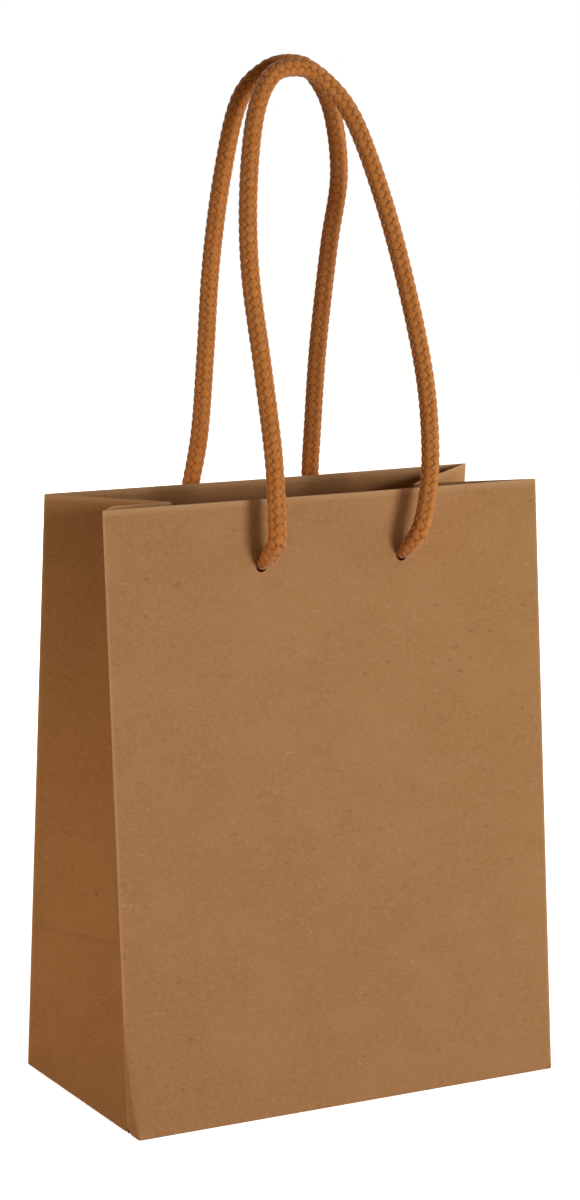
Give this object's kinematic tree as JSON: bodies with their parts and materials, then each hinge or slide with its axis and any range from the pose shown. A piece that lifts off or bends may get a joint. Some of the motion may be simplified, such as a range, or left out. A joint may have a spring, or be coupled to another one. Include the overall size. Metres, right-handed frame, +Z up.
{
  "type": "paper carrier bag",
  "caption": "Small brown kraft paper bag with folded-in sides, a flat folded base and braided cord handles knotted inside the mouth.",
  "frame": {"origin": "middle of the bag's outline on the surface that it stands on", "axes": "+Z up the bag, +X across its wide panels, +Y from the front panel to the back panel"},
  "size_m": [0.1442, 0.08, 0.3064],
  "materials": {
    "kraft_paper": "uncoated natural brown kraft paper with fine fibre flecks",
    "braided_cord": "matt orange-brown braided cord"
  },
  "bodies": {
    "root": {"paper_bag": "kraft_paper", "front_handle": "braided_cord", "back_handle": "braided_cord", "front_left_knot": "braided_cord", "front_right_knot": "braided_cord", "back_left_knot": "braided_cord", "back_right_knot": "braided_cord"}
  },
  "joints": []
}
